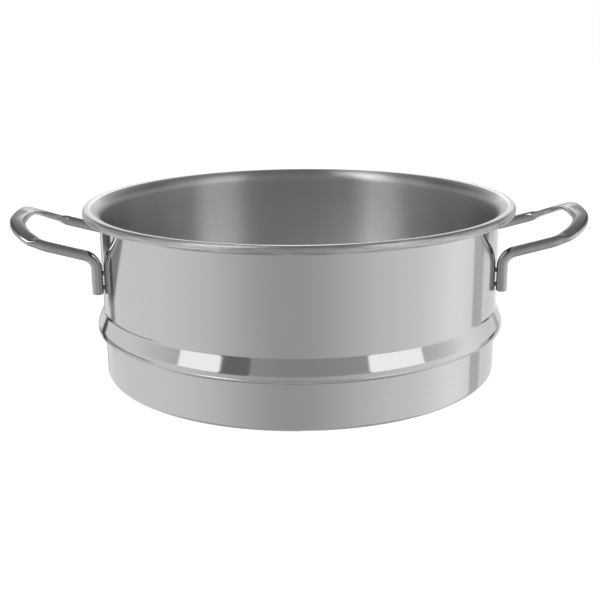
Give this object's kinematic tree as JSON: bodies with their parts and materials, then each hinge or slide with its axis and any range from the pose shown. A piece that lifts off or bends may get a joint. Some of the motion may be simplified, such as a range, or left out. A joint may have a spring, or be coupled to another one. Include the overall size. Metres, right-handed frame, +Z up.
{
  "type": "inset catering pan",
  "caption": "Open round steel pan with loop handles welded to its sides, a flared and hemmed rim, and a bead above a plain skirt that drops into a pot or a kettle's well.",
  "frame": {"origin": "middle of the pan's underside, on the plane it stands on", "axes": "+Z up out of the mouth, +X towards the right handle, -Y towards the picture's viewer"},
  "size_m": [0.4008, 0.302, 0.1191],
  "materials": {
    "pan_sheet": "mirror polished outside, satin with fine circular brushing inside",
    "handle_rod": "polished",
    "weld_metal": "dull, as welded"
  },
  "bodies": {
    "root": {"pan_base": "pan_sheet", "pan_wall": "pan_sheet", "right_handle": "handle_rod", "left_handle": "handle_rod", "weld_right_front_lower": "weld_metal", "weld_right_front_upper": "weld_metal", "weld_right_rear_lower": "weld_metal", "weld_right_rear_upper": "weld_metal", "weld_left_front_lower": "weld_metal", "weld_left_front_upper": "weld_metal", "weld_left_rear_lower": "weld_metal", "weld_left_rear_upper": "weld_metal"}
  },
  "joints": []
}
